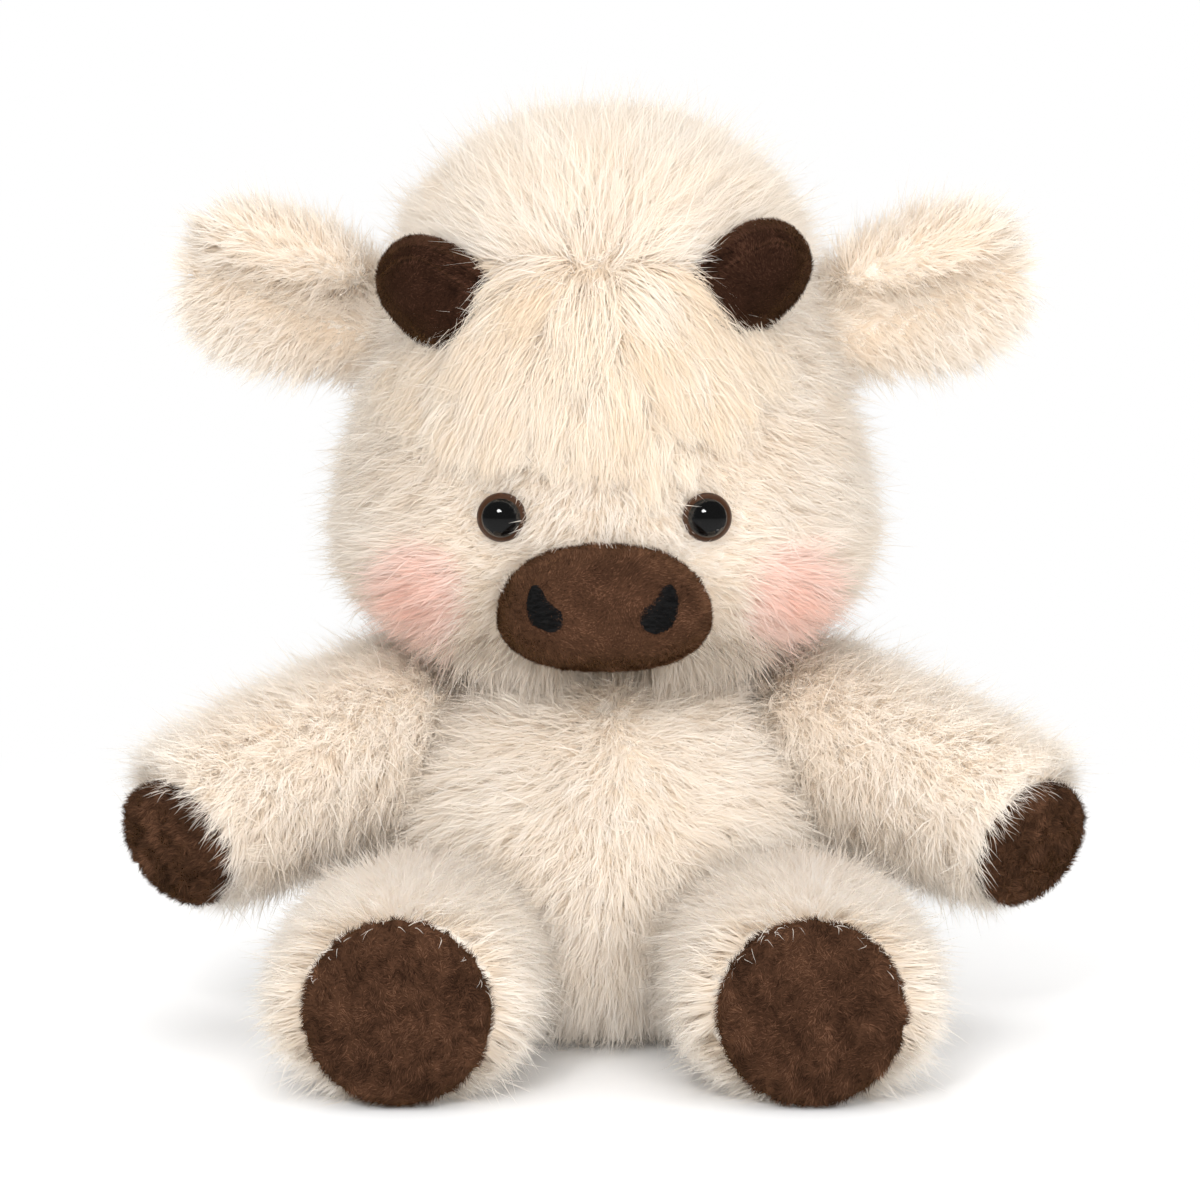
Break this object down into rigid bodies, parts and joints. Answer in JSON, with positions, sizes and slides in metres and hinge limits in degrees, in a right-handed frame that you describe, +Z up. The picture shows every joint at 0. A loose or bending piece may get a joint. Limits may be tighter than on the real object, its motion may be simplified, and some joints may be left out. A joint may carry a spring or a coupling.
{
  "type": "sitting plush cow",
  "caption": "Sitting plush toy cow in long pale fur, with suede hoof pads, soles, horns and muzzle; its limbs, ears, tail and head swing on their seams.",
  "frame": {"origin": "middle of the flat seat under the torso, on the surface that the toy sits on", "axes": "+Z up, the face and the soles look along -Y, +X towards the toy's own left"},
  "size_m": [0.301, 0.2304, 0.296],
  "materials": {
    "fur_cream": "long cream pile, 10 to 15 mm, matt",
    "suede_brown": "short-nap dark brown suede cloth, matt",
    "embroidery_black": "black satin-stitch thread, low sheen",
    "eye_plastic": "glossy black plastic with a brown ring",
    "washer_plastic": "white moulded plastic",
    "stuffing_white": "loose white polyester fibre",
    "bag_cotton": "plain undyed cotton"
  },
  "bodies": {
    "torso": {"torso_skin": "fur_cream", "torso_stuffing": "stuffing_white", "pellet_bag": "bag_cotton"},
    "head": {"head_skin": "fur_cream", "head_stuffing": "stuffing_white", "forelock": "fur_cream", "muzzle": "suede_brown", "muzzle_stuffing": "stuffing_white", "eye_left": "eye_plastic", "eye_washer_left": "washer_plastic", "nostril_left": "embroidery_black", "horn_left": "suede_brown", "horn_stuffing_left": "stuffing_white", "eye_right": "eye_plastic", "eye_washer_right": "washer_plastic", "nostril_right": "embroidery_black", "horn_right": "suede_brown", "horn_stuffing_right": "stuffing_white"},
    "tail": {"tail": "fur_cream", "tail_tuft": "suede_brown"},
    "ear_left": {"ear_left": "fur_cream"},
    "arm_left": {"arm_skin_left": "fur_cream", "arm_stuffing_left": "stuffing_white", "hoof_pad_left": "suede_brown"},
    "leg_left": {"leg_skin_left": "fur_cream", "leg_stuffing_left": "stuffing_white", "sole_left": "suede_brown"},
    "ear_right": {"ear_right": "fur_cream"},
    "arm_right": {"arm_skin_right": "fur_cream", "arm_stuffing_right": "stuffing_white", "hoof_pad_right": "suede_brown"},
    "leg_right": {"leg_skin_right": "fur_cream", "leg_stuffing_right": "stuffing_white", "sole_right": "suede_brown"}
  },
  "joints": [
    {"name": "neck_turn", "type": "hinge", "parent": "torso", "child": "head", "pos_m": [0, 0, 0.119], "axis": [0, 0, 1], "range_deg": [-20, 20], "stiffness_Nm_per_rad": 1},
    {"name": "tail_swing", "type": "hinge", "parent": "torso", "child": "tail", "pos_m": [0, 0.0686, 0.078], "axis": [1, 0, 0], "range_deg": [0, 60], "stiffness_Nm_per_rad": 0.1},
    {"name": "ear_flop_left", "type": "hinge", "parent": "head", "child": "ear_left", "pos_m": [0.06959, 0.004, 0.224], "axis": [0, 1, 0], "range_deg": [-15, 15], "stiffness_Nm_per_rad": 0.3},
    {"name": "shoulder_left", "type": "hinge", "parent": "torso", "child": "arm_left", "pos_m": [0.06486, 0, 0.094], "axis": [1, 0, 0], "range_deg": [-25, 30], "stiffness_Nm_per_rad": 1.5},
    {"name": "hip_left", "type": "hinge", "parent": "torso", "child": "leg_left", "pos_m": [0.0575, -0.06383, 0.0325], "axis": [1, 0, 0], "range_deg": [-20, 10], "stiffness_Nm_per_rad": 3},
    {"name": "ear_flop_right", "type": "hinge", "parent": "head", "child": "ear_right", "pos_m": [-0.06959, 0.004, 0.224], "axis": [0, 1, 0], "range_deg": [-15, 15], "stiffness_Nm_per_rad": 0.3},
    {"name": "shoulder_right", "type": "hinge", "parent": "torso", "child": "arm_right", "pos_m": [-0.06486, 0, 0.094], "axis": [1, 0, 0], "range_deg": [-25, 30], "stiffness_Nm_per_rad": 1.5},
    {"name": "hip_right", "type": "hinge", "parent": "torso", "child": "leg_right", "pos_m": [-0.0575, -0.06383, 0.0325], "axis": [1, 0, 0], "range_deg": [-20, 10], "stiffness_Nm_per_rad": 3}
  ]
}
